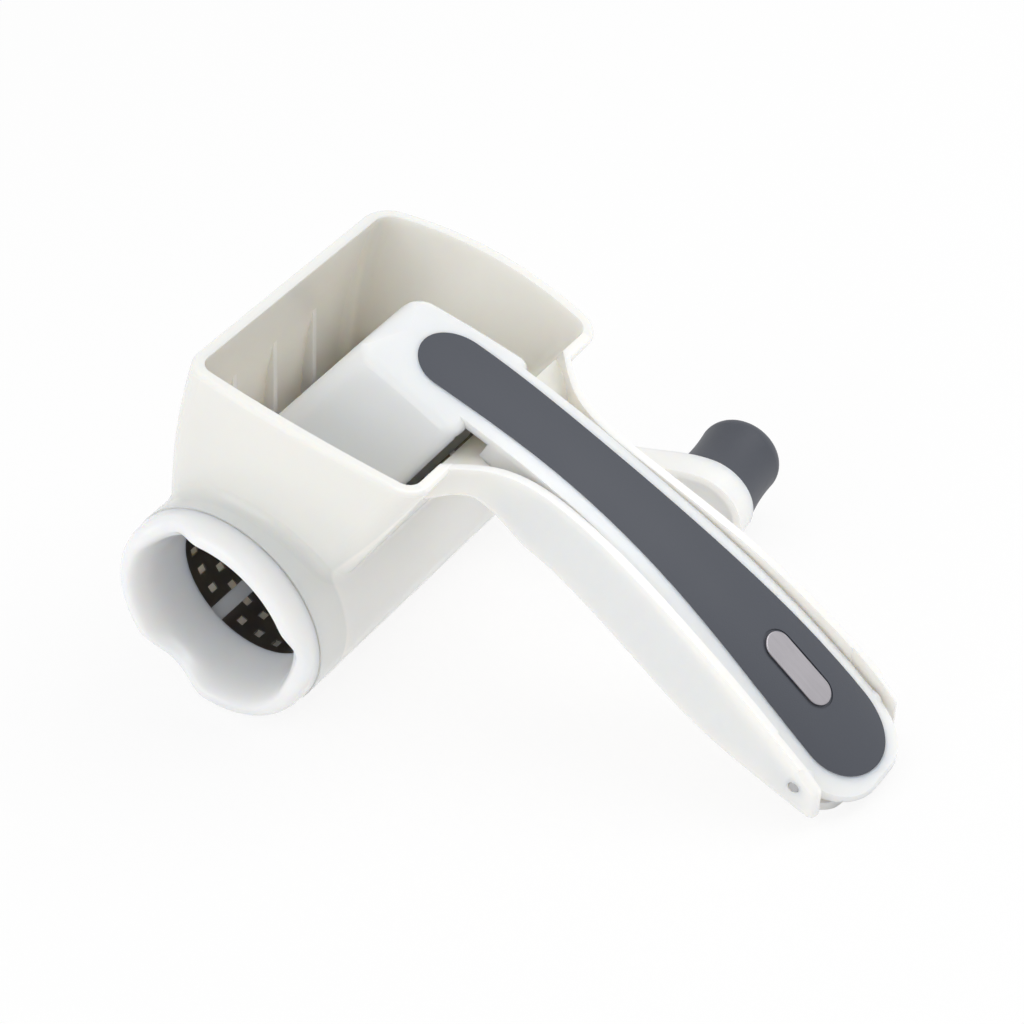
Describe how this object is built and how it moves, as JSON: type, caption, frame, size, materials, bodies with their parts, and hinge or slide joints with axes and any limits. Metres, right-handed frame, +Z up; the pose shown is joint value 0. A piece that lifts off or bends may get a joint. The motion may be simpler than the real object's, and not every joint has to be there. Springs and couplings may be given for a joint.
{
  "type": "rotary cheese grater",
  "caption": "Hand-cranked rotary cheese grater: open hopper over a barrel with a perforated drum, a hinged squeeze handle that carries the pusher, and a crank with a grip knob.",
  "frame": {"origin": "on the table, under the middle of the drum's axis: the barrel's lowest line crosses it", "axes": "+X along the handle away from the drum, +Y along the drum's axis towards the crank, +Z up; the grater lies as pictured, on its barrel and the tip of its handle"},
  "size_m": [0.1861, 0.1345, 0.0962],
  "materials": {
    "white_plastic": "glossy warm-white moulded plastic",
    "cool_white_plastic": "glossy cool-white moulded plastic",
    "soft_grip": "matte dark grey soft grip",
    "steel": "plain steel",
    "sleeve_steel": "stainless sheet, punched",
    "badge_metal": "satin metal plate, bare"
  },
  "bodies": {
    "frame": {"body": "white_plastic", "hinge_pin": "steel"},
    "press": {"press_handle": "white_plastic", "grip_inlay": "soft_grip", "badge_plate": "badge_metal"},
    "drum": {"drum_ring": "cool_white_plastic", "drum_sleeve": "sleeve_steel", "drum_hub": "cool_white_plastic", "crank_arm": "cool_white_plastic"},
    "knob": {"crank_knob": "soft_grip"}
  },
  "joints": [
    {"name": "press_hinge", "type": "hinge", "parent": "frame", "child": "press", "pos_m": [0.14448, 0, 0.01108], "axis": [0, 1, 0], "range_deg": [0, 20]},
    {"name": "drum_spin", "type": "hinge", "parent": "frame", "child": "drum", "pos_m": [0, 0, 0.029], "axis": [0, 1, 0], "continuous": true},
    {"name": "knob_spin", "type": "hinge", "parent": "drum", "child": "knob", "pos_m": [0.07327, 0.06004, 0.01729], "axis": [-0.1032, 0.9945, 0.0165], "continuous": true}
  ]
}
